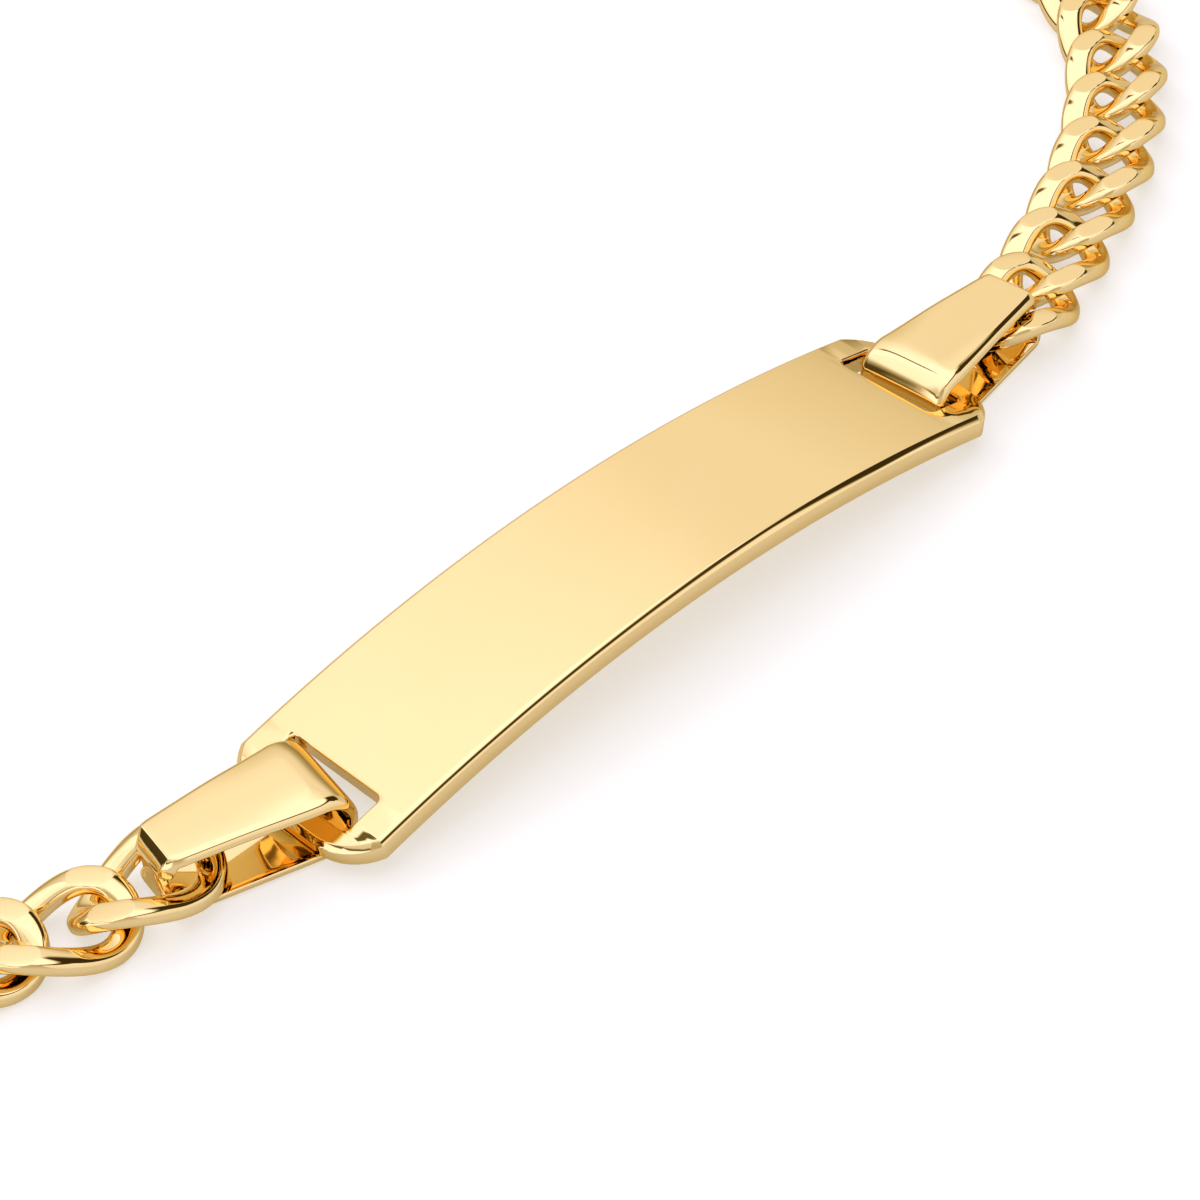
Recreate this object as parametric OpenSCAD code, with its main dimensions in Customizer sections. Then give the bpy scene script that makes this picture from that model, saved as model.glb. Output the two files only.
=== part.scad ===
// Identity bracelet: a curved name plate, a folded connector at each end of it and a filed curb chain
// that closes the loop. It lies flat: the plate face up along X, the chain running round behind it.

/* [Plate] */
// Length of the plate from end to end, along its curve
plate_len = 34.1; // [31.5:0.2:37.5]
// Width of the plate
plate_w = 8; // [7.4:0.1:9]
// Thickness of the plate
plate_t = 0.9; // [0.65:0.05:1.05]
// Radius of the plate's curved top face
plate_r = 66.5; // [59:0.5:85]
// Length of each corner's cut, measured along the plate
corner_cut = 1.4; // [1.1:0.1:1.8]
// Radius of the rounding at each corner
corner_r = 2.7; // [2.3:0.1:3.2]
// Width of the bevel along each long edge
bevel_w = 0.25; // [0.1:0.05:0.5]
// Depth of that bevel
bevel_depth = 0.2; // [0.05:0.05:0.35]

/* [Slots] */
// Width of the bar that is left at each end of the plate
end_bar = 1; // [0.8:0.05:1.25]
// Width of each slot, along the plate
slot_w = 1.85; // [1.75:0.05:2.2]
// Radius of the slot's corners
slot_r = 0.3; // [0.1:0.05:0.5]

/* [Connectors] */
// Thickness of the folded strip
strip_t = 0.4; // [0.3:0.05:0.45]
// Width of the strip where it curls round the end bar
strip_wide = 4.2; // [3.6:0.1:4.7]
// Width of the strip where it folds at the chain
strip_narrow = 2.15; // [1.75:0.1:2.65]
// Width of the neck that passes through the first link
neck_w = 1.5; // [1.1:0.1:1.6]
// Length of each connector
connector_len = 7.45; // [6.8:0.05:8.5]
// Outer radius of the two folds at the chain end
fold_r = 0.45; // [0.25:0.05:0.55]
// Turn of the right connector toward the back
turn_right = 3; // [0:0.5:5]
// Turn of the left connector toward the back
turn_left = 10; // [5:0.5:10]
// Shift of the right connector in its slot, toward the back
shift_right = -0.25; // [-0.25:0.05:0.35]
// Shift of the left connector in its slot, toward the back
shift_left = 0.2; // [-0.35:0.05:0.25]

/* [Chain] */
// Width of the chain
chain_w = 4.45; // [4.25:0.05:4.9]
// Thickness that the chain is filed down to
chain_t = 1.8; // [1.6:0.05:2]
// Diameter of the links' wire
wire_d = 1.24; // [1.12:0.02:1.28]
// Distance from each link to the next
link_pitch = 3.42; // [3.34:0.02:3.56]
// Number of links in the chain
link_count = 47; // [45:1:49]
// Tilt of the first and last links, which lean on the connectors' lower strips
first_tilt = 5; // [4:0.5:6]
// Roll of those two links, which lowers one side of each
first_roll = 4; // [3:0.5:5]
// Number of links from the right connector to the clasp
links_before_clasp = 33; // [31:1:35]
// Length of the clasp's solid body
clasp_body = 12; // [9:0.5:14]
// Radius of the domed faces of the clasp's body
clasp_dome_r = 8; // [6:0.5:12]

/* [Clearances] */
// Play between each link and the next
link_play = 0.25; // [0.2:0.05:0.35]
// Gap between each end bar and the strip that carries it
seat_gap = 0.05; // [0.03:0.01:0.1]
// Gap between each connector's curl and the plate, along the plate
curl_gap = 0.45; // [0.35:0.05:0.5]
// Gap between a connector's sides and the ends of its slot
slot_side_gap = 0.4; // [0.35:0.05:0.55]
// Gap between the first link, which lies tilted in the connector, and the strip above it
fold_gap = 0.05; // [0.03:0.01:0.12]
// Distance of the first link's centre from the connector's outer fold
first_link_reach = 0.3; // [0.2:0.05:0.5]

/* [Hidden] */
// Shape of the chain's way from the right connector round to the left one: the points that steer it
CHAIN_ROUTE = [
    [25.7, 1.5], [31.9, 4.2], [37.3, 8.1], [41.6, 13.3], [43.7, 21.2], [43.5, 27.8], [41.5, 35.9],
    [37.1, 44.4], [30.8, 52], [22, 58.1], [10.4, 60.7], [-0.6, 55.7], [-8.8, 47.8], [-16.8, 39],
    [-25, 31.2], [-31, 23], [-34.8, 13.6], [-31.9, 5.7], [-26.4, 1.9]
];
ROUTE_STEPS = 8;
ROUTE_TRIAL = 1.05;
LINK_RINGS = 16;
WIRE_SIDES = 6;
// Shares of the wire's diameter: its rise and fall round a link, and the flats' reach past its centre line
RISE_SHARE = 0.66;
FLAT_SHARE = 0.35;
GOLD = [0.93, 0.76, 0.42];
OVERCUT = 1;
$fn = 96;

// Plate, seen from the side: its ends stand on the connectors' lower strips
end_angle = plate_len / 2 / plate_r * 180 / PI;
arch_z = strip_t + seat_gap - (plate_r - plate_t) * cos(end_angle);

// Links: an oval of wire, twisted so that opposite quarters rise and fall
link_a = (link_pitch + wire_d + link_play) / 2;
link_b = (chain_w - wire_d) / 2;
link_rise = RISE_SHARE * wire_d;
// the faceted wire's corners stand out of the round wire as far as its flats lie inside it
wire_r = wire_d / (1 + cos(180 / WIRE_SIDES));
half_t = chain_t / 2;
// the filed flats reach this far from a link's centre
flat_reach = link_a + FLAT_SHARE * wire_d;
// the first link leans on the lower strip a third of the way to its end and two thirds to its side
lean_rise = link_a / 3 * sin(first_tilt) + link_b * 2 / 3 * sin(first_roll);
first_z = strip_t + seat_gap + half_t - lean_rise;
first_top = first_z + half_t + flat_reach * sin(first_tilt);

// Connectors
connector_h = first_top + fold_gap + strip_t;
curl_r = connector_h / 2;
fold_x = connector_len - curl_r;
slot_in_angle = (plate_len / 2 - end_bar - slot_w) / plate_r * 180 / PI;
curl_x = (plate_r - plate_t / 2) * sin(slot_in_angle) + curl_gap + curl_r;
slot_len = strip_wide + 2 * slot_side_gap;
taper = (strip_wide - strip_narrow) / 2 / connector_len;

// The chain's way: a cubic B-spline from the first link's centre to the last one's
function heading(angle) = [cos(angle), sin(angle)];
way_start = [curl_x, shift_right] + (fold_x + first_link_reach) * heading(turn_right);
way_end = [-curl_x, shift_left] + (fold_x + first_link_reach) * heading(180 - turn_left);
function steer_at(growth) =
    let (route = growth * CHAIN_ROUTE)
    concat(
        [2 * way_start - route[0], way_start],
        route,
        [way_end, 2 * way_end - route[len(route) - 1]]
    );
function spline_at(steer, i, t) = (
    (1 - t) ^ 3 * steer[i] + (3 * t ^ 3 - 6 * t ^ 2 + 4) * steer[i + 1]
    + (-3 * t ^ 3 + 3 * t ^ 2 + 3 * t + 1) * steer[i + 2] + t ^ 3 * steer[i + 3]
) / 6;
function way_with(growth) =
    let (steer = steer_at(growth))
    [
        for (i = [0:len(steer) - 4]) for (k = [0:ROUTE_STEPS - 1]) spline_at(steer, i, k / ROUTE_STEPS),
        way_end
    ];
function running(points, i = 1, sum = 0, so_far = [0]) =
    i == len(points) ? so_far
    : let (next = sum + norm(points[i] - points[i - 1]))
        running(points, i + 1, next, concat(so_far, [next]));
function length_with(growth) = let (run = running(way_with(growth))) run[len(run) - 1];

// The way is as long as its links and the clasp's body, so its route grows or shrinks from the plate
chain_len = link_count * link_pitch + clasp_body;
growth_per_mm = (ROUTE_TRIAL - 1) / (length_with(ROUTE_TRIAL) - length_with(1));
rough_growth = 1 + (chain_len - length_with(1)) * growth_per_mm;
route_growth = rough_growth + (chain_len - length_with(rough_growth)) * growth_per_mm;
way = way_with(route_growth);
way_run = running(way);
way_len = way_run[len(way) - 1];
function way_at(s) =
    let (
        i = max(1, min([for (k = [1:len(way) - 1]) if (way_run[k] >= s) k, len(way) - 1])),
        t = (s - way_run[i - 1]) / (way_run[i] - way_run[i - 1])
    )
    way[i - 1] + t * (way[i] - way[i - 1]);
function turn_of(step) = atan2(step[1], step[0]);
function way_turn(s) = turn_of(way_at(s + link_pitch / 2) - way_at(s - link_pitch / 2));

// Links share the way evenly, and the clasp's body takes its own length of it
link_step = (way_len - clasp_body) / link_count;
clasp_from = way_at(links_before_clasp * link_step);
clasp_to = way_at(links_before_clasp * link_step + clasp_body);
function link_s(i) = i <= links_before_clasp ? (i - 1) * link_step : i * link_step + clasp_body;
function link_at(i) = way_at(link_s(i));
function link_turn(i) = way_turn(link_s(i));
function link_tilt(i) = i == 1 ? first_tilt : i == link_count ? -first_tilt : 0;
function link_roll(i) = i == 1 ? first_roll : i == link_count ? -first_roll : 0;
function link_z(i) = i == 1 || i == link_count ? first_z : half_t;
function link_name(i) = str("link_", i < 10 ? "0" : "", i);

// The origin lies under the middle of the whole bracelet
function reach(turn) = norm([link_a * cos(turn), link_b * sin(turn)]) + wire_d / 2;
all_links = [1:link_count];
x_most = max([for (i = all_links) link_at(i)[0] + reach(link_turn(i))]);
x_least = min([for (i = all_links) link_at(i)[0] - reach(link_turn(i))]);
y_most = max([for (i = all_links) link_at(i)[1] + reach(link_turn(i) - 90)]);
home = [-(x_most + x_least) / 2, -(y_most - plate_w / 2) / 2, 0];

// The plate's cross-section: distance from the arch's centre by width
module plate_section() {
    low = plate_r - plate_t;
    polygon([
        [low, -plate_w / 2],
        [plate_r - bevel_depth, -plate_w / 2],
        [plate_r, -plate_w / 2 + bevel_w],
        [plate_r, plate_w / 2 - bevel_w],
        [plate_r - bevel_depth, plate_w / 2],
        [low, plate_w / 2]
    ]);
}

// Outline of one end of the plate, with the end edge at x = 0 and the plate toward -x
module end_outline() {
    arc_x = -corner_r;
    arc_y = plate_w / 2 - sqrt(corner_r ^ 2 - (corner_r - corner_cut) ^ 2);
    translate([-plate_len * 2, -plate_w])
        square([plate_len * 2 + arc_x, 2 * plate_w]);
    translate([arc_x - OVERCUT, -arc_y])
        square([corner_r + OVERCUT, 2 * arc_y]);
    for (side = [-1, 1]) translate([arc_x, side * arc_y]) circle(corner_r);
}

// Outline of a slot with rounded corners
module slot_outline() {
    translate([-slot_w / 2, -slot_len / 2 + slot_r])
        square([slot_w, slot_len - 2 * slot_r]);
    translate([-slot_w / 2 + slot_r, -slot_len / 2])
        square([slot_w - 2 * slot_r, slot_len]);
    for (i = [-1, 1]) for (j = [-1, 1])
        translate([i * (slot_w / 2 - slot_r), j * (slot_len / 2 - slot_r)]) circle(slot_r);
}

// Puts children at one end of the plate, square to its curved face
module at_plate_end(side) {
    mirror([side < 0 ? 1 : 0, 0, 0])
        translate([0, 0, arch_z])
            rotate([0, end_angle, 0])
                translate([0, 0, plate_r])
                    children();
}

module plate() {
    sweep = 2 * (end_angle + 1);
    difference() {
        intersection() {
            translate([0, 0, arch_z])
                rotate([90, 0, 0])
                    rotate([0, 0, 90 - sweep / 2])
                        rotate_extrude(angle = sweep, $fn = 360) plate_section();
            both_end_outlines();
        }
        for (side = [-1, 1]) at_plate_end(side)
            translate([-end_bar - slot_w / 2, 0, -plate_t - OVERCUT])
                linear_extrude(height = plate_t + 2 * OVERCUT) slot_outline();
    }
}

// The two end outlines, each cut through the whole plate
module both_end_outlines() {
    intersection() {
        at_plate_end(1) translate([0, 0, -plate_len]) linear_extrude(height = 2 * plate_len) end_outline();
        at_plate_end(-1) translate([0, 0, -plate_len]) linear_extrude(height = 2 * plate_len) end_outline();
    }
}

// Side view of a connector: a closed flat loop of strip, round at the plate and folded at the chain
module strip_side() {
    difference() {
        union() {
            translate([0, curl_r]) circle(curl_r);
            square([fold_x - fold_r, connector_h]);
            translate([0, fold_r]) square([fold_x, connector_h - 2 * fold_r]);
            for (z = [fold_r, connector_h - fold_r]) translate([fold_x - fold_r, z]) circle(fold_r);
        }
        translate([0, curl_r]) circle(curl_r - strip_t);
        translate([0, strip_t]) square([fold_x - strip_t, connector_h - 2 * strip_t]);
    }
}

// Plan of a connector: it tapers from the plate to the chain
module strip_plan() {
    wide = strip_wide / 2 + taper * OVERCUT;
    narrow = strip_narrow / 2 - taper * OVERCUT;
    polygon([
        [-curl_r - OVERCUT, -wide],
        [fold_x + OVERCUT, -narrow],
        [fold_x + OVERCUT, narrow],
        [-curl_r - OVERCUT, wide]
    ]);
}

module connector() {
    difference() {
        intersection() {
            rotate([90, 0, 0])
                linear_extrude(height = strip_wide + 2 * OVERCUT, center = true) strip_side();
            translate([0, 0, -OVERCUT])
                linear_extrude(height = connector_h + 2 * OVERCUT) strip_plan();
        }
        // the fold is necked in on both sides, to pass through the first link
        for (side = [0, 1]) mirror([0, side, 0])
            translate([fold_x - 2 * strip_t, neck_w / 2, strip_t])
                cube([2 * strip_t + OVERCUT, strip_wide, connector_h - 2 * strip_t]);
    }
}

module connector_right() {
    translate([curl_x, shift_right, 0]) rotate([0, 0, turn_right]) connector();
}

module connector_left() {
    translate([-curl_x, shift_left, 0]) rotate([0, 0, 180 - turn_left]) connector();
}

// One ring of points round a link's wire, with its top and bottom filed flat
function ring(t, stretch) =
    let (
        centre = [
            link_a * cos(t) + stretch,
            link_b * sin(t),
            link_rise * sin(2 * t)
        ],
        along = [-link_a * sin(t), link_b * cos(t), 2 * link_rise * cos(2 * t)],
        out = [along[1], -along[0], 0] / norm([along[0], along[1]]),
        up = cross(out, along) / norm(along)
    )
    [
        for (k = [0:WIRE_SIDES - 1])
            let (
                turn = 360 * (k + 0.5) / WIRE_SIDES,
                point = centre + wire_r * (cos(turn) * out + sin(turn) * up)
            )
            [point[0], point[1], max(-half_t, min(half_t, point[2]))]
    ];

// A closed tube through rings of points
module ring_tube(rings) {
    rows = len(rings);
    polyhedron(
        points = [for (row = rings) for (point = row) point],
        faces = [
            for (i = [0:rows - 1]) for (k = [0:WIRE_SIDES - 1])
                let (
                    j = (i + 1) % rows,
                    m = (k + 1) % WIRE_SIDES,
                    a = i * WIRE_SIDES + k,
                    b = j * WIRE_SIDES + k,
                    c = j * WIRE_SIDES + m,
                    d = i * WIRE_SIDES + m
                )
                each [[a, c, b], [a, d, c]]
        ]
    );
}

module curb_link(i) {
    translate([link_at(i)[0], link_at(i)[1], link_z(i)])
        rotate([0, 0, link_turn(i)])
            rotate([link_roll(i), link_tilt(i), 0])
                ring_tube([for (k = [0:LINK_RINGS - 1]) ring(360 * k / LINK_RINGS, 0)]);
}

// One plain piece: half a link at each end of a solid body with domed faces
module clasp() {
    half_rings = LINK_RINGS / 2;
    middle = (clasp_from + clasp_to) / 2;
    translate([middle[0], middle[1], half_t])
        rotate([0, 0, turn_of(clasp_to - clasp_from)])
            union() {
                ring_tube([
                    for (side = [0, 1]) for (k = [0:half_rings])
                        ring(-90 + 180 * side + 180 * k / half_rings, (0.5 - side) * clasp_body)
                ]);
                intersection() {
                    cube([clasp_body, chain_w, chain_t], center = true);
                    clasp_dome(1);
                    clasp_dome(-1);
                }
            }
}

module clasp_dome(side) {
    translate([0, 0, side * (half_t - clasp_dome_r)])
        rotate([0, 90, 0]) cylinder(r = clasp_dome_r, h = clasp_body + OVERCUT, center = true);
}

color(GOLD) translate(home) plate();
color(GOLD) translate(home) connector_right();
color(GOLD) translate(home) connector_left();
color(GOLD) translate(home) clasp();
for (i = all_links)
    color(GOLD) translate(home) curb_link(i);
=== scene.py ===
"""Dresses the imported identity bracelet: polished plate, folded connectors, filed curb links and the stage."""

import math

import bmesh
import bpy
import numpy as np
from bpy.props import FloatProperty, FloatVectorProperty, IntProperty, PointerProperty
from mathutils import Matrix, Vector


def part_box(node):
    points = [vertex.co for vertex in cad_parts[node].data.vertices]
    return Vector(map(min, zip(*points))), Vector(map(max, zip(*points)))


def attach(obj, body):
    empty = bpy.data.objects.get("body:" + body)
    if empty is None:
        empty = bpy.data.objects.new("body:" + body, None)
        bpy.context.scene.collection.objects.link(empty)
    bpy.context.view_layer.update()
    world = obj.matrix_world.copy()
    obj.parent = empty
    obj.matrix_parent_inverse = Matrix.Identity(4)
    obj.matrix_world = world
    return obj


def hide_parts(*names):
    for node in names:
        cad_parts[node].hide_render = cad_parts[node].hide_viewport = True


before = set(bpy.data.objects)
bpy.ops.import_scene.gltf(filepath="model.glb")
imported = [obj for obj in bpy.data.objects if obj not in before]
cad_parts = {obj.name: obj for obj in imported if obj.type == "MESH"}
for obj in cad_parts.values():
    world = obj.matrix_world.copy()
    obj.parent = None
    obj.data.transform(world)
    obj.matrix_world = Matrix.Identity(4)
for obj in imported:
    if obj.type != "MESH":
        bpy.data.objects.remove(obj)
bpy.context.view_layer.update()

bl_info = {
    "name": "Identity Bracelet",
    "version": (1, 0, 0),
    "blender": (4, 5, 0),
    "location": "3D View > Sidebar > Bracelet",
    "description": "Builds the looks of a polished gold identity bracelet round its packed CAD model",
    "category": "Object",
}

MM = 0.001
NEAR = 1e-6  # metres within which points are taken for the ones looked for
TOUCH = 1e-7  # metres within which a point lies on a plane
LINK_NODES = sorted(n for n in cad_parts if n.startswith("link_"))
PLATE_LOW, PLATE_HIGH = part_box("plate")
PLATE_MIDDLE = (PLATE_LOW + PLATE_HIGH) / 2


def length(name, description, default):
    """A size in metres that the sidebar shows."""
    return FloatProperty(
        name=name, description=description, default=default, min=0.0, soft_max=1.0,
        precision=5, subtype="DISTANCE", unit="LENGTH",
    )


def shift(name, description, default):
    """A shift in metres, either way, that the sidebar shows."""
    return FloatProperty(
        name=name, description=description, default=default, precision=5, subtype="DISTANCE", unit="LENGTH",
    )


def share(name, description, default, low=0.0):
    """A share up to 1 that the sidebar shows."""
    return FloatProperty(name=name, description=description, default=default, min=low, max=1.0)


def turn(name, description, degrees):
    """An angle that the sidebar shows."""
    return FloatProperty(
        name=name, description=description, default=math.radians(degrees),
        subtype="ANGLE", unit="ROTATION",
    )


def tint(name, description, colour):
    """A colour that the sidebar shows."""
    return FloatVectorProperty(
        name=name, description=description, default=colour, size=3, min=0.0, max=1.0, subtype="COLOR",
    )


class PlateSizes(bpy.types.PropertyGroup):
    """Sizes of the curved name plate."""

    long: length("Length", "Length of the plate along its curve", 34.1 * MM)
    wide: length("Width", "Width of the plate", PLATE_HIGH.y - PLATE_LOW.y)
    thick: length("Thickness", "Thickness of the plate", 0.9 * MM)
    radius: length("Radius", "Radius of the curved top face", 66.5 * MM)
    corner_cut: length("Corner cut", "Length of each corner's cut along the plate", 1.4 * MM)
    corner_radius: length("Corner radius", "Radius of the rounding at each corner", 2.7 * MM)
    bevel: length("Bevel", "Width of the bevel round the top face", 0.25 * MM)
    bevel_drop: length("Bevel drop", "Depth of the bevel round the top face", 0.2 * MM)
    bevel_edge: length("Bevel edge", "Rounding of the bevel's own edges", 0.03 * MM)
    under_bevel: length("Lower bevel", "Rounding of the lower rim", 0.08 * MM)
    end_bar: length("End bar", "Width of the bar at each end", 1.0 * MM)
    slot_wide: length("Slot width", "Width of each slot along the plate", 1.85 * MM)
    slot_long: length("Slot length", "Length of each slot across the plate", 5.0 * MM)
    slot_radius: length("Slot corners", "Radius of the slot's corners", 0.3 * MM)
    slot_bevel: length("Slot bevel", "Bevel round the top of each slot", 0.15 * MM)
    bends: IntProperty(name="Bends", description="Straight steps along the plate's curve", default=64, min=8)


class ConnectorSizes(bpy.types.PropertyGroup):
    """Sizes of the two folded connectors."""

    thick: length("Strip thickness", "Thickness of the folded strip", 0.4 * MM)
    high: length("Height", "Height over both sheets", 2.80583 * MM)
    wide: length("Wide end", "Width of the strip at the curl", 4.2 * MM)
    narrow: length("Narrow end", "Width of the strip at the fold", 2.15 * MM)
    neck: length("Neck", "Width of the neck inside the first link", 1.5 * MM)
    neck_low: length("Neck from", "Height where the neck starts to narrow", 0.64 * MM)
    neck_high: length("Neck to", "Height where the neck starts to widen again", 1.72 * MM)
    neck_run: length("Neck run", "Height over which the neck narrows or widens", 0.26 * MM)
    long: length("Length", "Length from the curl to the fold", 7.45 * MM)
    fold_back: length("Fold bevel run", "How far the end's steep bevel reaches back over the top", 0.47 * MM)
    fold_down: length("Fold bevel drop", "How far the end's steep bevel reaches down", 0.68 * MM)
    fold_edge: length("Fold edge", "Rounding of the steep bevel's own edges", 0.05 * MM)
    fold_under: length("Fold rounding", "Rounding between the fold and the lower sheet", 0.5 * MM)
    outer_round: length("Outer rounding", "Rounding of the strip's outer edges", 0.3 * MM)
    inner_round: length("Inner rounding", "Rounding of the strip's inner edges", 0.06 * MM)
    end_pinch: length("End pinch", "How much each side narrows toward the fold's steep bevel", 0.2 * MM)
    end_pinch_long: length("End pinch length", "Length over which the end's sides narrow", 0.9 * MM)
    crown: length("Crown", "How far the top sheet's sides fall below its middle", 0.05 * MM)
    curl_crown: length("Curl crown", "Further crown across the curl", 0.16 * MM)
    curl_crown_long: length("Curl crown length", "Length over which the curl's crown fades", 3.2 * MM)
    curl_at: length("Curl place", "Distance of each curl's axis from the plate's middle", 15.8499 * MM)
    shift_right: shift("Right shift", "Shift of the right connector along its slot", -0.25 * MM)
    shift_left: shift("Left shift", "Shift of the left connector along its slot", 0.2 * MM)
    turn_right: turn("Right turn", "Turn of the right connector toward the back", 3.0)
    turn_left: turn("Left turn", "Turn of the left connector toward the back", 10.0)


class ChainSizes(bpy.types.PropertyGroup):
    """Sizes of the curb links and the hidden clasp."""

    half_long: length("Half length", "Half the length of a link's centre line", 2.455 * MM)
    half_wide: length("Half width", "Half the width of a link's centre line", 1.605 * MM)
    wire: length("Wire", "Height of the wire's section", 1.24 * MM)
    lean: share("Lean", "Share of its width that the wire's section keeps", 0.9, 0.3)
    flatness: share("Flatness", "Share of its height that the wire's section keeps", 0.6, 0.3)
    squareness: share("Squareness", "Power of the section's curve: 1 is round, less is squarer", 0.72, 0.3)
    rise: length("Rise", "Rise and fall of the wire round a link", 0.63 * MM)
    filed_from: length("Filed from", "Height above a link's middle where the filed faces start", 0.84 * MM)
    filed_dome: share("Filed dome", "Share of the wire's height that is left above the filed edge", 0.15)
    filed_snap: length("Filed snap", "Points this near a filed edge are moved onto it", 0.012 * MM)
    filed_weld: length("Filed weld", "Points nearer than this are joined after filing", 0.02 * MM)
    soft_edge: length("Soft edge", "Rounding where a filed flat meets the wire", 0.05 * MM)
    clasp_thick: length("Clasp thickness", "Thickness of the clasp's body", 1.8 * MM)
    clasp_body: length("Clasp body", "Length of the clasp's solid body", 12.0 * MM)
    clasp_dome: length("Clasp dome", "Radius of the clasp's domed faces", 8.0 * MM)
    clasp_edge: length("Clasp edge", "Rounding of the clasp body's edges", 0.15 * MM)
    clasp_root: length("Clasp root", "How far each half link reaches into the clasp's body", 0.3 * MM)
    rings: IntProperty(name="Rings", description="Rings of points round a link", default=72, min=16)
    sides: IntProperty(name="Sides", description="Sides of a link's wire", default=24, min=8)


class GoldLook(bpy.types.PropertyGroup):
    """Colours of the polished gold."""

    gold: tint("Gold", "Colour of the gold where it is bright", (0.98, 0.745, 0.34))
    warm: tint("Warm gold", "Colour of the gold's slightly warmer patches", (0.97, 0.72, 0.31))
    shallow: tint("Shallow gold", "Tint of the gold where it is seen at a shallow angle", (1.0, 0.82, 0.45))
    roughness: share("Roughness", "Polish of the metal", 0.05)
    coat: share("Coat", "Weight of the clear shine over the gold", 0.08)


class StageLook(bpy.types.PropertyGroup):
    """The floor, the light and the camera."""

    floor: tint("Floor", "Colour of the floor", (0.47, 0.462, 0.452))
    glow_tint: tint("Floor tint", "Colour of the floor's glow, seen in the shadows", (1.0, 0.97, 0.905))
    floor_drop: length("Floor drop", "Depth of the floor below the bracelet's lowest point", 0.045 * MM)
    floor_glow: FloatProperty(
        name="Floor glow", description="Extra white of the overexposed floor", default=0.585, min=0.0,
    )
    glow_in_gold: share("Glow in gold", "Share of the floor's glow that the gold reflects", 0.45)
    lens: FloatProperty(name="Lens", description="Focal length on a 36 mm sensor", default=112.587, min=10.0)
    key_power: FloatProperty(
        name="Key light", description="Power of the key light", default=0.35, min=0.0, unit="POWER",
    )


def knobs():
    """The sizes and colours of this scene."""
    return bpy.context.scene.bracelet


def piece(name, bm, nodes, material):
    """Makes a finished object of a mesh, hides the CAD nodes it takes the place of and parents it to the root body.
    """
    mesh = bpy.data.meshes.new(name)
    bmesh.ops.recalc_face_normals(bm, faces=bm.faces)
    for face in bm.faces:
        face.smooth = True
    bm.to_mesh(mesh)
    bm.free()
    obj = bpy.data.objects.new(name, mesh)
    bpy.context.scene.collection.objects.link(obj)
    mesh.materials.append(material)
    flats = obj.modifiers.new("Even normals", "WEIGHTED_NORMAL")
    flats.mode = "FACE_AREA"
    flats.keep_sharp = True
    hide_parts(*nodes)
    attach(obj, "root")
    return obj


def bevel(bm, edges, offset, segments):
    """Rounds edges."""
    return bmesh.ops.bevel(
        bm, geom=edges, offset=offset, offset_type="OFFSET", segments=segments, profile=0.5,
        affect="EDGES", material=-1, clamp_overlap=True,
    )


def cut(bm, place, normal, faces=None):
    """Cuts all faces, or those given, with a plane and keeps both sides."""
    if faces is None:
        geom = bm.verts[:] + bm.edges[:] + bm.faces[:]
    else:
        geom = list({e for f in faces for e in f.edges}) + list(faces)
    bmesh.ops.bisect_plane(bm, geom=geom, dist=TOUCH, plane_co=place, plane_no=normal)


def spun_arc(bm, centre, radius, start, sweep, steps):
    """A chain of edges spun from one vertex. Returns its first and last vertex."""
    centre = Vector(centre)
    first = bm.verts.new(centre + radius * Vector((math.cos(start), math.sin(start), 0)))
    made = bmesh.ops.spin(
        bm, geom=[first], cent=centre, axis=(0, 0, 1), angle=sweep, steps=steps, use_merge=False,
    )
    last = [g for g in made["geom_last"] if isinstance(g, bmesh.types.BMVert)][0]
    return first, last


def plate_outline(bm, s):
    """The plate's outline as one flat face: straight sides, with an arc at each corner."""
    arc_y = s.wide / 2 - math.sqrt(s.corner_radius**2 - (s.corner_radius - s.corner_cut) ** 2)
    sweep = math.acos((s.corner_radius - s.corner_cut) / s.corner_radius)
    arc_x = s.long / 2 - s.corner_radius
    corners = [
        ((arc_x, -arc_y, 0), -sweep),
        ((arc_x, arc_y, 0), 0),
        ((-arc_x, arc_y, 0), math.pi - sweep),
        ((-arc_x, -arc_y, 0), math.pi),
    ]
    ends = [spun_arc(bm, c, s.corner_radius, start, sweep, 8) for c, start in corners]
    for i in range(4):
        bm.edges.new((ends[i][1], ends[(i + 1) % 4][0]))
    bmesh.ops.contextual_create(bm, geom=bm.edges[:])


def open_slot(bm, s, side):
    """Cuts one slot through the flat plate and rounds its corners."""
    near = side * (s.long / 2 - s.end_bar - s.slot_wide)
    far = side * (s.long / 2 - s.end_bar)
    for x in (near, far):
        cut(bm, (x, 0, 0), (1, 0, 0))
    low, high = min(near, far), max(near, far)
    for y in (-s.slot_long / 2, s.slot_long / 2):
        between = [
            f for f in bm.faces
            if low < f.calc_center_median().x < high and abs(f.normal.z) > 0.9
        ]
        cut(bm, (0, y, 0), (0, 1, 0), between)
    gone = [
        f for f in bm.faces
        if low < f.calc_center_median().x < high
        and abs(f.calc_center_median().y) < s.slot_long / 2 - NEAR
        and abs(f.normal.z) > 0.9
    ]
    rims = [e for f in gone for e in f.edges]
    bmesh.ops.delete(bm, geom=gone, context="FACES_ONLY")
    bmesh.ops.bridge_loops(bm, edges=[e for e in rims if e.is_valid])
    uprights = [
        e for e in bm.edges
        if abs(e.verts[0].co.z - e.verts[1].co.z) > s.thick / 2
        and all(abs(abs(v.co.y) - s.slot_long / 2) < NEAR for v in e.verts)
        and all(low - NEAR < v.co.x < high + NEAR for v in e.verts)
    ]
    bevel(bm, uprights, s.slot_radius, 5)


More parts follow.
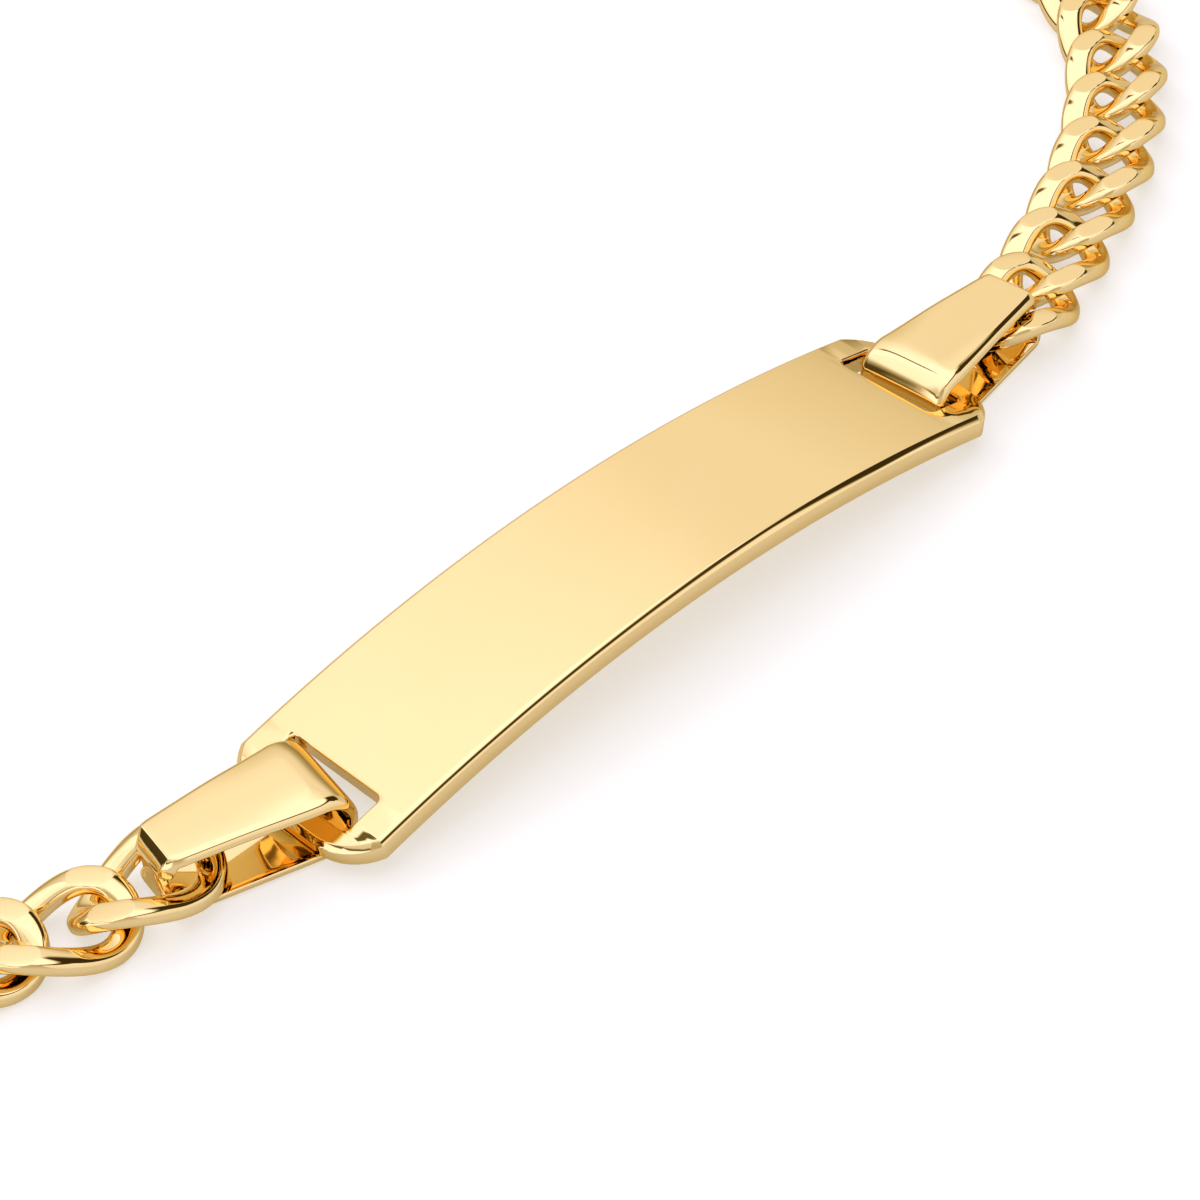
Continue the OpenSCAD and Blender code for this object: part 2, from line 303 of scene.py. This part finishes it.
def rim_edges(bm, top, wanted):
    """Edges at height top between a flat face and a wall, out of those that are wanted."""
    found = []
    for e in bm.edges:
        if len(e.link_faces) != 2 or any(abs(v.co.z - top) > TOUCH for v in e.verts):
            continue
        flat = [f for f in e.link_faces if abs(f.normal.z) > 0.9]
        wall = [f for f in e.link_faces if abs(f.normal.z) < 0.1]
        if len(flat) == 1 and len(wall) == 1 and wanted(e):
            found.append(e)
    return found


def build_plate(s):
    """The name plate: flat first, then bevelled and bent."""
    bm = bmesh.new()
    plate_outline(bm, s)
    made = bmesh.ops.extrude_face_region(bm, geom=bm.faces[:])
    down = [v for v in made["geom"] if isinstance(v, bmesh.types.BMVert)]
    bmesh.ops.translate(bm, verts=down, vec=(0, 0, -s.thick))
    bmesh.ops.recalc_face_normals(bm, faces=bm.faces)
    bevel(bm, rim_edges(bm, 0.0, lambda e: True), s.bevel, 1)
    bevel(bm, rim_edges(bm, -s.thick, lambda e: True), s.under_bevel, 2)
    for v in bm.verts:
        if abs(v.co.z + s.bevel) < NEAR:
            v.co.z = -s.bevel_drop
    bm.normal_update()
    level = (0.0, -s.bevel_drop)
    bevel(bm, [
        e for e in bm.edges
        if any(all(abs(v.co.z - z) < NEAR for v in e.verts) for z in level)
        and any(0.2 < f.normal.z < 0.95 for f in e.link_faces)
    ], s.bevel_edge, 2)
    for side in (1, -1):
        open_slot(bm, s, side)
    bm.normal_update()
    slot_from = s.long / 2 - s.end_bar - s.slot_wide - NEAR
    slot_rims = rim_edges(bm, 0.0, lambda e: all(abs(v.co.x) > slot_from for v in e.verts))
    bevel(bm, slot_rims, s.slot_bevel, 3)
    for i in range(1, s.bends):
        cut(bm, (s.long * (i / s.bends - 0.5), 0, 0), (1, 0, 0))
    bmesh.ops.remove_doubles(bm, verts=bm.verts, dist=TOUCH)
    centre = Vector((PLATE_MIDDLE.x, PLATE_MIDDLE.y, PLATE_HIGH.z - s.radius))
    for v in bm.verts:
        a, r = v.co.x / s.radius, s.radius + v.co.z
        v.co = centre + Vector((r * math.sin(a), v.co.y, r * math.cos(a)))
    return bm


def smooth(way):
    """Eases a way from 0 to 1."""
    way = min(1.0, max(0.0, way))
    return way * way * (3 - 2 * way)


STRIP_ROWS = 12  # faces across a connector's strip
STRIP_CUTS = 16  # steps along a connector, of which the last two stay whole beside the fold's bevel
NECK_CUTS = 4  # steps where the neck narrows or widens
SQUARE = 0.999  # a face's normal this near an axis is square to it
WELD = 0.004 * MM  # points nearer than this are joined after the rims are rounded


def build_connector(s):
    """A connector as a closed loop of strip, still square at its edges, with where its curl and fold lie."""
    bm = bmesh.new()
    curl = s.high / 2
    fold = s.long - curl
    first = bm.verts.new((0, 0, 0))
    made = bmesh.ops.spin(
        bm, geom=[first], cent=(0, 0, curl), axis=(0, 1, 0), angle=math.pi, steps=20, use_merge=False,
    )
    top = [g for g in made["geom_last"] if isinstance(g, bmesh.types.BMVert)][0]
    back = bm.verts.new((fold - s.fold_back, 0, s.high))
    high = bm.verts.new((fold, 0, s.high - s.fold_down))
    low = bm.verts.new((fold, 0, 0))
    for pair in ((top, back), (back, high), (high, low), (low, first)):
        bm.edges.new(pair)
    bmesh.ops.translate(bm, verts=bm.verts, vec=(0, -s.wide / 2, 0))
    edges = bm.edges[:]
    for _ in range(STRIP_ROWS):
        made = bmesh.ops.extrude_edge_only(bm, edges=edges)
        bmesh.ops.translate(
            bm, verts=[g for g in made["geom"] if isinstance(g, bmesh.types.BMVert)],
            vec=(0, s.wide / STRIP_ROWS, 0),
        )
        edges = [g for g in made["geom"] if isinstance(g, bmesh.types.BMEdge)]
    bmesh.ops.recalc_face_normals(bm, faces=bm.faces)
    across = [e for e in bm.edges if abs(e.verts[0].co.y - e.verts[1].co.y) > NEAR]
    lowest = [e for e in across if all(v.co.z < TOUCH and v.co.x > fold - TOUCH for v in e.verts)]
    bevel(bm, lowest, s.fold_under, 4)
    for i in range(1, STRIP_CUTS - 1):
        cut(bm, (fold * i / STRIP_CUTS, 0, 0), (1, 0, 0), [f for f in bm.faces if abs(f.normal.z) > SQUARE])
    for start in (s.neck_low, s.neck_high):
        for i in range(NECK_CUTS + 1):
            z = start + s.neck_run * i / NECK_CUTS
            cut(bm, (0, 0, z), (0, 0, 1), [f for f in bm.faces if f.normal.x > SQUARE])
    bmesh.ops.solidify(bm, geom=bm.faces[:], thickness=s.thick)
    bmesh.ops.recalc_face_normals(bm, faces=bm.faces)
    return bm, curl, fold


def shape_connector(bm, s, side, curl, fold):
    """Rounds the strip's edges, then tapers, necks and crowns it and puts it in its place."""
    def on_rim(v):
        return abs(abs(v.co.y) - s.wide / 2) < TOUCH

    def out_of_loop(v):
        x, z = v.co.x, v.co.z
        if x <= 0:
            return math.hypot(x, z - curl) > curl - s.thick / 2
        return z < s.thick / 2 or z > s.high - s.thick / 2 or x > fold - s.thick / 2

    rim = [
        e for e in bm.edges
        if all(on_rim(v) for v in e.verts) and any(abs(f.normal.y) < 0.5 for f in e.link_faces)
    ]
    outer = [e for e in rim if all(out_of_loop(v) for v in e.verts)]
    inner = [e for e in rim if not any(out_of_loop(v) for v in e.verts)]
    bevel(bm, outer, s.outer_round, 5)
    bevel(bm, [e for e in inner if e.is_valid], s.inner_round, 2)
    corners = ((fold - s.fold_back, s.high), (fold, s.high - s.fold_down))
    bevel(bm, [
        e for e in bm.edges
        if any(all(abs(v.co.x - x) < TOUCH and abs(v.co.z - z) < TOUCH for v in e.verts) for x, z in corners)
    ], s.fold_edge, 2)
    bmesh.ops.remove_doubles(bm, verts=bm.verts, dist=WELD)
    stay = s.wide / 2 - s.outer_round * 1.2
    for v in bm.verts:
        x, y, z = v.co
        less = (s.wide - s.narrow) / 2 * max(x, 0) / s.long
        if x > fold - 2 * s.thick:
            rise = smooth((z - s.neck_low) / s.neck_run) * (1 - smooth((z - s.neck_high) / s.neck_run))
            less += ((s.wide - s.neck) / 2 - less) * rise
        if z > s.high - s.fold_down - s.thick:
            less += s.end_pinch * smooth((x - fold + s.end_pinch_long) / s.end_pinch_long) ** 2
        if abs(y) > stay:
            y = math.copysign(abs(y) - less, y)
        else:
            y *= (stay - less) / stay
        half = s.wide / 2 - less
        if z > curl:
            drop = s.crown + s.curl_crown * (1 - smooth(x / s.curl_crown_long))
            z -= drop * min(1.0, abs(y) / half) ** 4 * (z - curl) / curl
        v.co = (x, y, z)
    spot = Vector((side * s.curl_at, s.shift_right if side > 0 else s.shift_left, 0))
    angle = s.turn_right if side > 0 else math.pi - s.turn_left
    place = Matrix.Translation(Vector((PLATE_MIDDLE.x, PLATE_MIDDLE.y, 0)) + spot) @ Matrix.Rotation(angle, 4, "Z")
    bmesh.ops.transform(bm, matrix=place, verts=bm.verts)


def own_frame(node):
    """The place and directions of a link, from its CAD solid's own symmetry: long way, wide way and up."""
    co = np.array([v.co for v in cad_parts[node].data.vertices], float)
    co = np.unique(co.round(7), axis=0)
    middle = (co.min(0) + co.max(0)) / 2
    values, axes = np.linalg.eigh(np.cov((co - co.mean(0)).T))
    long_way, up = Vector(axes[:, 2]), Vector(axes[:, 0])
    if up.z < 0:
        up = -up
    wide_way = up.cross(long_way)
    turned = Matrix((long_way, wide_way, up)).transposed().to_4x4()
    return Matrix.Translation(Vector(middle)) @ turned


def wire_place(s, t):
    """The wire's centre at an angle round the link, with its way outward and up."""
    middle = Vector((s.half_long * math.cos(t), s.half_wide * math.sin(t), s.rise * math.sin(2 * t)))
    along = Vector((-s.half_long * math.sin(t), s.half_wide * math.cos(t), 2 * s.rise * math.cos(2 * t)))
    along.normalize()
    out = Vector((along.y, -along.x, 0)).normalized()
    return middle, out, out.cross(along).normalized()


def twisted_tube(s):
    """A torus of wire, drawn out into a twisted oval."""
    bm = bmesh.new()
    bmesh.ops.create_circle(bm, segments=s.sides, radius=s.wire / 2)
    bmesh.ops.rotate(bm, verts=bm.verts, cent=(0, 0, 0), matrix=Matrix.Rotation(math.pi / 2, 3, "X"))
    bmesh.ops.translate(bm, verts=bm.verts, vec=(s.half_long, 0, 0))
    bmesh.ops.spin(
        bm, geom=bm.verts[:] + bm.edges[:], cent=(0, 0, 0), axis=(0, 0, 1),
        angle=math.tau, steps=s.rings, use_merge=True,
    )
    for v in bm.verts:
        t = math.atan2(v.co.y, v.co.x)
        side, up_by = math.hypot(v.co.x, v.co.y) - s.half_long, v.co.z
        radius = s.wire / 2
        side = s.lean * radius * math.copysign(abs(side / radius) ** s.squareness, side) + (1 - s.lean) * radius
        up_by = s.flatness * radius * math.copysign(abs(up_by / radius) ** s.squareness, up_by)
        middle, out, up = wire_place(s, t)
        v.co = middle + side * out + up_by * up
    bmesh.ops.recalc_face_normals(bm, faces=bm.faces)
    return bm


SORT_ALONG = Vector((1, 0.62, 0.31))


def file_flat(bm, s):
    """Files the top and the underside nearly flat, with a faint dome, and softens the edge of each filed face."""
    height = s.filed_from
    for side in (1, -1):
        cut(bm, (0, 0, side * height), (0, 0, 1))
    for v in bm.verts:
        if abs(abs(v.co.z) - height) < s.filed_snap:
            v.co.z = math.copysign(height, v.co.z)
    # What is joined depends on the points' order, so they are sorted along a slanting line first.
    bm.verts.sort(key=lambda v: v.co.dot(SORT_ALONG))
    bmesh.ops.remove_doubles(bm, verts=bm.verts, dist=s.filed_weld)
    edges = [e for e in bm.edges if all(abs(abs(v.co.z) - height) < TOUCH / 10 for v in e.verts)]
    for v in bm.verts:
        over = abs(v.co.z) - height
        if over > 0:
            v.co.z = math.copysign(height + over * s.filed_dome, v.co.z)
    bm.normal_update()
    bevel(bm, edges, s.soft_edge, 2)


def build_link(s):
    """One curb link in its own frame."""
    bm = twisted_tube(s)
    file_flat(bm, s)
    if any(not e.is_manifold for e in bm.edges):
        raise ValueError("the link isn't closed")
    return bm


def take_in(bm, part):
    """Adds one mesh to another and frees it."""
    mesh = bpy.data.meshes.new("part")
    part.to_mesh(mesh)
    part.free()
    bm.from_mesh(mesh)
    bpy.data.meshes.remove(mesh)


CLASP_ROWS = 12  # faces across the clasp's domed top
CLASP_CORNER = 0.8  # radians between two faces, above which their edge is rounded


def clasp_block(s):
    """The clasp's solid body, with its top and underside domed across."""
    bm = bmesh.new()
    wide = 2 * s.half_wide + s.wire
    bmesh.ops.create_cube(bm, size=1.0)
    bmesh.ops.scale(bm, vec=(s.clasp_body, wide, s.clasp_thick), verts=bm.verts)
    for i in range(1, CLASP_ROWS):
        cut(bm, (0, wide * (i / CLASP_ROWS - 0.5), 0), (0, 1, 0))
    for v in bm.verts:
        drop = s.clasp_dome - math.sqrt(s.clasp_dome**2 - v.co.y**2)
        v.co.z = math.copysign(s.clasp_thick / 2 - drop, v.co.z)
    bm.normal_update()
    bevel(bm, [e for e in bm.edges if e.calc_face_angle() > CLASP_CORNER], s.clasp_edge, 3)
    return bm


def build_clasp(s, place):
    """The clasp: half a link at each end of a solid body with domed faces."""
    bm = clasp_block(s)
    for side in (1, -1):
        half = build_link(s)
        bmesh.ops.bisect_plane(
            half, geom=half.verts[:] + half.edges[:] + half.faces[:], dist=TOUCH / 10,
            plane_co=(-side * s.clasp_root, 0, 0), plane_no=(-side, 0, 0), clear_outer=True,
        )
        bmesh.ops.holes_fill(half, edges=[e for e in half.edges if e.is_boundary], sides=0)
        bmesh.ops.translate(half, verts=half.verts, vec=(side * s.clasp_body / 2, 0, 0))
        take_in(bm, half)
    bmesh.ops.transform(bm, matrix=place, verts=bm.verts)
    return bm


WAVES_AND_PATCHES = {"plate_gold": (0.15, 0.3), "strip_gold": (0.3, 0.5), "link_gold": (0.5, 0.6)}
POLISH_SPREAD = 0.3  # share by which the roughness changes both ways


def polished_gold(name):
    """Polished gold: a faint change of colour and polish, and the waviness that hand polishing leaves."""
    found = bpy.data.materials.get(name)
    if found:
        return found
    look = knobs().look
    wave, patch = WAVES_AND_PATCHES[name]
    mat = bpy.data.materials.new(name)
    mat.use_nodes = True
    tree = mat.node_tree
    tree.nodes.clear()
    out = tree.nodes.new("ShaderNodeOutputMaterial")
    metal = tree.nodes.new("ShaderNodeBsdfPrincipled")
    metal.inputs["Metallic"].default_value = 1.0
    metal.inputs["Specular Tint"].default_value = (*look.shallow, 1)
    metal.inputs["Coat Weight"].default_value = look.coat
    tree.links.new(metal.outputs["BSDF"], out.inputs["Surface"])
    coords = tree.nodes.new("ShaderNodeTexCoord")
    in_mm = tree.nodes.new("ShaderNodeMapping")
    in_mm.inputs["Scale"].default_value = (1 / MM, 1 / MM, 1 / MM)
    tree.links.new(coords.outputs["Object"], in_mm.inputs["Vector"])

    patches = tree.nodes.new("ShaderNodeTexNoise")
    patches.inputs["Scale"].default_value = patch
    patches.inputs["Detail"].default_value = 3.0
    tree.links.new(in_mm.outputs["Vector"], patches.inputs["Vector"])
    colour = tree.nodes.new("ShaderNodeMix")
    colour.data_type = "RGBA"
    colour.inputs["A"].default_value = (*look.gold, 1)
    colour.inputs["B"].default_value = (*look.warm, 1)
    tree.links.new(patches.outputs["Fac"], colour.inputs["Factor"])
    tree.links.new(colour.outputs["Result"], metal.inputs["Base Color"])

    polish = tree.nodes.new("ShaderNodeMapRange")
    polish.inputs["From Min"].default_value = 0.3
    polish.inputs["From Max"].default_value = 0.7
    polish.inputs["To Min"].default_value = look.roughness * (1 - POLISH_SPREAD)
    polish.inputs["To Max"].default_value = look.roughness * (1 + POLISH_SPREAD)
    tree.links.new(patches.outputs["Fac"], polish.inputs["Value"])
    tree.links.new(polish.outputs["Result"], metal.inputs["Roughness"])

    waves = tree.nodes.new("ShaderNodeTexNoise")
    waves.inputs["Scale"].default_value = wave
    waves.inputs["Detail"].default_value = 1.0
    tree.links.new(in_mm.outputs["Vector"], waves.inputs["Vector"])
    relief = tree.nodes.new("ShaderNodeBump")
    relief.inputs["Strength"].default_value = 0.06
    relief.inputs["Distance"].default_value = 0.00002
    tree.links.new(waves.outputs["Fac"], relief.inputs["Height"])
    tree.links.new(relief.outputs["Normal"], metal.inputs["Normal"])
    return mat


class BRACELET_OT_plate(bpy.types.Operator):
    """Builds the curved name plate"""

    bl_idname = "bracelet.plate"
    bl_label = "Name Plate"

    def execute(self, context):
        piece("name_plate", build_plate(knobs().plate), ["plate"], polished_gold("plate_gold"))
        return {"FINISHED"}


class BRACELET_OT_connectors(bpy.types.Operator):
    """Builds the two folded connectors"""

    bl_idname = "bracelet.connectors"
    bl_label = "Folded Connectors"

    def execute(self, context):
        s = knobs().connector
        for side, node in ((1, "connector_right"), (-1, "connector_left")):
            bm, curl, fold = build_connector(s)
            shape_connector(bm, s, side, curl, fold)
            piece("folded_" + node, bm, [node], polished_gold("strip_gold"))
        return {"FINISHED"}


class BRACELET_OT_chain(bpy.types.Operator):
    """Builds the filed curb links"""

    bl_idname = "bracelet.chain"
    bl_label = "Curb Links"

    def execute(self, context):
        s = knobs().chain
        shape = build_link(s)
        for node in LINK_NODES:
            bm = shape.copy()
            bmesh.ops.transform(bm, matrix=own_frame(node), verts=bm.verts)
            piece("curb_" + node, bm, [node], polished_gold("link_gold"))
        shape.free()
        return {"FINISHED"}


class BRACELET_OT_clasp(bpy.types.Operator):
    """Builds the plain clasp in the chain's hidden stretch"""

    bl_idname = "bracelet.clasp"
    bl_label = "Clasp"

    def execute(self, context):
        bm = build_clasp(knobs().chain, own_frame("clasp"))
        piece("plain_clasp", bm, ["clasp"], polished_gold("link_gold"))
        return {"FINISHED"}


class BRACELET_OT_stage(bpy.types.Operator):
    """Builds the floor, the light and the camera"""

    bl_idname = "bracelet.stage"
    bl_label = "Stage"

    def execute(self, context):
        build_floor(knobs().stage)
        build_light(knobs().stage)
        build_camera(knobs().stage)
        context.scene.view_settings.view_transform = "Standard"
        return {"FINISHED"}


FLOOR_SIZE = 3.0  # metres from the floor's middle to its sides


def build_floor(s):
    """A plain pale floor."""
    bm = bmesh.new()
    bmesh.ops.create_grid(bm, x_segments=1, y_segments=1, size=FLOOR_SIZE)
    bmesh.ops.translate(bm, verts=bm.verts, vec=(0, 0, -s.floor_drop))
    mesh = bpy.data.meshes.new("floor")
    bm.to_mesh(mesh)
    bm.free()
    floor = bpy.data.objects.new("floor", mesh)
    bpy.context.scene.collection.objects.link(floor)
    mat = bpy.data.materials.new("floor_white")
    mat.use_nodes = True
    surface = mat.node_tree.nodes["Principled BSDF"]
    surface.inputs["Base Color"].default_value = (*s.floor, 1)
    surface.inputs["Roughness"].default_value = 0.9
    surface.inputs["Specular IOR Level"].default_value = 0.0
    surface.inputs["Emission Color"].default_value = (*s.glow_tint, 1)
    seen = mat.node_tree.nodes.new("ShaderNodeLightPath")
    glow = mat.node_tree.nodes.new("ShaderNodeMath")
    glow.operation = "MULTIPLY"
    glow.inputs[1].default_value = s.floor_glow
    for_gold = mat.node_tree.nodes.new("ShaderNodeMath")
    for_gold.operation = "MULTIPLY_ADD"
    for_gold.inputs[1].default_value = s.glow_in_gold
    mat.node_tree.links.new(seen.outputs["Is Glossy Ray"], for_gold.inputs[0])
    mat.node_tree.links.new(seen.outputs["Is Camera Ray"], for_gold.inputs[2])
    mat.node_tree.links.new(for_gold.outputs["Value"], glow.inputs[0])
    mat.node_tree.links.new(glow.outputs["Value"], surface.inputs["Emission Strength"])
    mesh.materials.append(mat)


def build_light(s):
    """Soft studio light: light and dark cards all round, each a sector with its own levels from floor to zenith."""
    scene = bpy.context.scene
    world = bpy.data.worlds.new("studio")
    scene.world = world
    world.use_nodes = True
    tree = world.node_tree
    tree.nodes.clear()
    out = tree.nodes.new("ShaderNodeOutputWorld")
    coords = tree.nodes.new("ShaderNodeTexCoord")
    split = tree.nodes.new("ShaderNodeSeparateXYZ")
    tree.links.new(coords.outputs["Generated"], split.inputs["Vector"])
    rise = tree.nodes.new("ShaderNodeMath")
    rise.operation = "ARCSINE"
    tree.links.new(split.outputs["Z"], rise.inputs[0])
    height = tree.nodes.new("ShaderNodeMath")
    height.operation = "MULTIPLY"
    height.inputs[1].default_value = 2 / math.pi
    tree.links.new(rise.outputs["Value"], height.inputs[0])
    around = tree.nodes.new("ShaderNodeMath")
    around.operation = "ARCTAN2"
    tree.links.new(split.outputs["Y"], around.inputs[0])
    tree.links.new(split.outputs["X"], around.inputs[1])
    light = grey_ramp(tree, height.outputs["Value"], BACK_LIGHT)
    for middle, half, soft, stops in SECTORS:
        card = grey_ramp(tree, height.outputs["Value"], stops)
        light = sector(tree, around.outputs["Value"], middle, half, soft, light, card)
    sky = tree.nodes.new("ShaderNodeBackground")
    sky.inputs["Strength"].default_value = SKY_STRENGTH
    tree.links.new(cooler_when_bright(tree, light), sky.inputs["Color"])
    plain = tree.nodes.new("ShaderNodeBackground")
    plain.inputs["Color"].default_value = (1, 1, 1, 1)
    seen = tree.nodes.new("ShaderNodeLightPath")
    choose = tree.nodes.new("ShaderNodeMixShader")
    tree.links.new(seen.outputs["Is Camera Ray"], choose.inputs["Fac"])
    tree.links.new(sky.outputs["Background"], choose.inputs[1])
    tree.links.new(plain.outputs["Background"], choose.inputs[2])
    tree.links.new(choose.outputs["Shader"], out.inputs["Surface"])

    lamp = bpy.data.lights.new("key", "AREA")
    lamp.shape = "DISK"
    lamp.size = KEY_SIZE
    lamp.energy = s.key_power
    key = bpy.data.objects.new("key", lamp)
    scene.collection.objects.link(key)
    aim = Vector((PLATE_MIDDLE.x, PLATE_MIDDLE.y, 0))
    key.location = aim + Vector(KEY_FROM)
    key.rotation_euler = Vector(KEY_FROM).to_track_quat("Z", "Y").to_euler()
    key.visible_glossy = False


def grey_ramp(tree, value, stops):
    """A ramp of grey levels, as pairs of height in degrees and level up to 1."""
    ramp = tree.nodes.new("ShaderNodeValToRGB")
    elements = ramp.color_ramp.elements
    while len(elements) < len(stops):
        elements.new(0.5)
    for element, (degrees, level) in zip(elements, stops):
        element.position = degrees / 90
        element.color = (level, level, level, 1)
    tree.links.new(value, ramp.inputs["Fac"])
    return ramp.outputs["Color"]


GREEN_POWER = 1.09
BLUE_POWER = 1.5
BLUE_GAIN = 1.28


def cooler_when_bright(tree, light):
    """Turns grey light a little blue where it is bright and a little golden where it is dim."""
    level = tree.nodes.new("ShaderNodeSeparateColor")
    tree.links.new(light, level.inputs["Color"])
    green = tree.nodes.new("ShaderNodeMath")
    green.operation = "POWER"
    green.inputs[1].default_value = GREEN_POWER
    tree.links.new(level.outputs["Green"], green.inputs[0])
    power = tree.nodes.new("ShaderNodeMath")
    power.operation = "POWER"
    power.inputs[1].default_value = BLUE_POWER
    tree.links.new(level.outputs["Blue"], power.inputs[0])
    blue = tree.nodes.new("ShaderNodeMath")
    blue.operation = "MULTIPLY"
    blue.inputs[1].default_value = BLUE_GAIN
    tree.links.new(power.outputs["Value"], blue.inputs[0])
    colour = tree.nodes.new("ShaderNodeCombineColor")
    tree.links.new(level.outputs["Red"], colour.inputs["Red"])
    tree.links.new(green.outputs["Value"], colour.inputs["Green"])
    tree.links.new(blue.outputs["Value"], colour.inputs["Blue"])
    return colour.outputs["Color"]


def sector(tree, bearing, middle, half, soft, outside, inside):
    """Shows one card within half degrees of a bearing and the other light outside it."""
    away = tree.nodes.new("ShaderNodeMath")
    away.operation = "SUBTRACT"
    tree.links.new(bearing, away.inputs[0])
    away.inputs[1].default_value = math.radians(middle)
    wrapped = tree.nodes.new("ShaderNodeMath")
    wrapped.operation = "WRAP"
    wrapped.inputs[1].default_value = math.pi
    wrapped.inputs[2].default_value = -math.pi
    tree.links.new(away.outputs["Value"], wrapped.inputs[0])
    size = tree.nodes.new("ShaderNodeMath")
    size.operation = "ABSOLUTE"
    tree.links.new(wrapped.outputs["Value"], size.inputs[0])
    edge = tree.nodes.new("ShaderNodeMapRange")
    edge.interpolation_type = "SMOOTHSTEP"
    edge.inputs["From Min"].default_value = math.radians(half + soft / 2)
    edge.inputs["From Max"].default_value = math.radians(half - soft / 2)
    tree.links.new(size.outputs["Value"], edge.inputs["Value"])
    mix = tree.nodes.new("ShaderNodeMix")
    mix.data_type = "RGBA"
    tree.links.new(edge.outputs["Result"], mix.inputs["Factor"])
    tree.links.new(outside, mix.inputs["A"])
    tree.links.new(inside, mix.inputs["B"])
    return mix.outputs["Result"]


SKY_STRENGTH = 1.4
# Light levels by height in degrees, and the cards as bearing, half width, softness and their levels by height.
# A later card covers an earlier one.
BACK_LIGHT = [(0, 0.22), (8, 0.3), (14, 0.42), (22, 0.57), (34, 0.68), (42, 0.78), (50, 0.88), (60, 1.0), (90, 1.0)]
SECTORS = (
    (-127, 30, 16, [(0, 0.5), (20, 0.45), (36, 0.35), (50, 0.4), (62, 0.9), (90, 1.0)]),
    (-31, 14, 6, [(0, 0.62), (14, 0.6), (24, 0.7), (28, 0.85), (31, 0.03), (50, 0.03), (55, 0.95), (90, 1.0)]),
    (-70, 33, 6, [(0, 0.66), (14, 0.66), (30, 0.72), (41, 0.74), (44, 0.04), (50, 0.04), (54, 1.0), (90, 1.0)]),
    (2, 30, 14, [(0, 0.6), (14, 0.5), (22, 0.5), (26, 0.03), (50, 0.03), (56, 0.95), (90, 1.0)]),
    (34, 14, 8, [(0, 0.2), (8, 0.28), (14, 0.38), (22, 0.58), (30, 0.68), (42, 0.68), (54, 0.8),
        (64, 1.0), (90, 1.0)]),
    (116, 22, 4, [(0, 0.3), (14, 0.35), (22, 0.9), (30, 1.0), (90, 1.0)]),
    (96, 3, 2, [(0, 0.22), (14, 0.42), (22, 0.57), (34, 0.68), (42, 0.75), (47, 0.1), (62, 0.1),
        (72, 1.0), (90, 1.0)]),
    (138, 20, 6, [(0, 0.04), (16, 0.06), (24, 0.35), (32, 0.9), (90, 1.0)]),
    (182, 30, 8, [(0, 0.95), (23, 0.95), (26, 0.1), (29, 0.1), (33, 0.55), (45, 0.6), (58, 0.9), (90, 1.0)]),
)
KEY_SIZE = 0.25
KEY_FROM = (-0.05, 0.3, 0.4)
# The camera was fitted to the photograph. Its place is measured from under the plate's middle.
CAMERA_FROM = (-65.682 * MM, -84.257 * MM, 94.046 * MM)
CAMERA_RIGHT = (0.73113316, -0.67414557, -0.10474754)
CAMERA_UP = (0.50669461, 0.43376124, 0.74505822)
CAMERA_BACK = (-0.45684228, -0.59781179, 0.65872316)


def build_camera(s):
    """The camera at the photograph's viewing angle."""
    data = bpy.data.cameras.new("view")
    data.sensor_width = 36.0
    data.lens = s.lens
    data.clip_start, data.clip_end = 0.005, 20.0
    camera = bpy.data.objects.new("view", data)
    bpy.context.scene.collection.objects.link(camera)
    turned = Matrix((CAMERA_RIGHT, CAMERA_UP, CAMERA_BACK)).transposed().to_4x4()
    place = Vector((PLATE_MIDDLE.x, PLATE_MIDDLE.y, 0)) + Vector(CAMERA_FROM)
    camera.matrix_world = Matrix.Translation(place) @ turned
    bpy.context.scene.camera = camera


class BraceletSettings(bpy.types.PropertyGroup):
    """All sizes and colours of the bracelet."""

    plate: PointerProperty(type=PlateSizes)
    connector: PointerProperty(type=ConnectorSizes)
    chain: PointerProperty(type=ChainSizes)
    look: PointerProperty(type=GoldLook)
    stage: PointerProperty(type=StageLook)


STEPS = (BRACELET_OT_plate, BRACELET_OT_connectors, BRACELET_OT_chain, BRACELET_OT_clasp, BRACELET_OT_stage)


class BRACELET_PT_sidebar(bpy.types.Panel):
    """Lists the sizes and the steps"""

    bl_idname = "BRACELET_PT_sidebar"
    bl_label = "Identity Bracelet"
    bl_space_type = "VIEW_3D"
    bl_region_type = "UI"
    bl_category = "Bracelet"

    def draw(self, context):
        settings = context.scene.bracelet
        for group in ("plate", "connector", "chain", "look", "stage"):
            box = self.layout.box()
            box.label(text=group.capitalize())
            for prop in getattr(settings, group).bl_rna.properties:
                if prop.identifier not in {"rna_type", "name"}:
                    box.prop(getattr(settings, group), prop.identifier)
        for step in STEPS:
            self.layout.operator(step.bl_idname)


CLASSES = (
    PlateSizes, ConnectorSizes, ChainSizes, GoldLook, StageLook, BraceletSettings, *STEPS, BRACELET_PT_sidebar,
)


def register():
    for cls in CLASSES:
        bpy.utils.register_class(cls)
    bpy.types.Scene.bracelet = PointerProperty(type=BraceletSettings)


def unregister():
    del bpy.types.Scene.bracelet
    for cls in reversed(CLASSES):
        bpy.utils.unregister_class(cls)


def main():
    register()
    bpy.ops.bracelet.plate()
    bpy.ops.bracelet.connectors()
    bpy.ops.bracelet.chain()
    bpy.ops.bracelet.clasp()
    bpy.ops.bracelet.stage()


if __name__ == "__main__":
    main()
